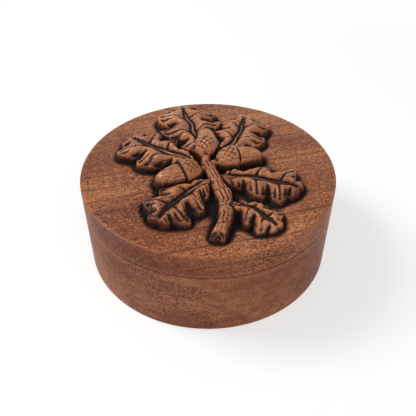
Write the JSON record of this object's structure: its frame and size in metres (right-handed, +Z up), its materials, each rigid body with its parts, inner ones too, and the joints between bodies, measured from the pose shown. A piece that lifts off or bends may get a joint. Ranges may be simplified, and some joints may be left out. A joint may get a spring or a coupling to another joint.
{
  "type": "dice box",
  "caption": "round turned wooden box with a raised lip and a lift-off cap whose face is carved with an oak twig, leaves and acorns",
  "frame": {"origin": "centre of the base's foot, on the surface that the box stands on", "axes": "+Z up along the turning axis of base and cap; +Y from the twig's cut end towards the top leaf; +X to the right as the carving is looked at"},
  "size_m": [0.127, 0.127, 0.0582],
  "materials": {
    "base_wood": "oiled stained wood, satin",
    "cap_wood": "oiled stained wood, satin, dark stain in the carving's hollows"
  },
  "bodies": {
    "base": {"base": "base_wood"},
    "cap": {"cap": "cap_wood"}
  },
  "joints": [
    {"name": "cap_lift", "type": "slide", "parent": "base", "child": "cap", "axis": [0, 0, 1], "range_m": [0, 0.09]}
  ]
}
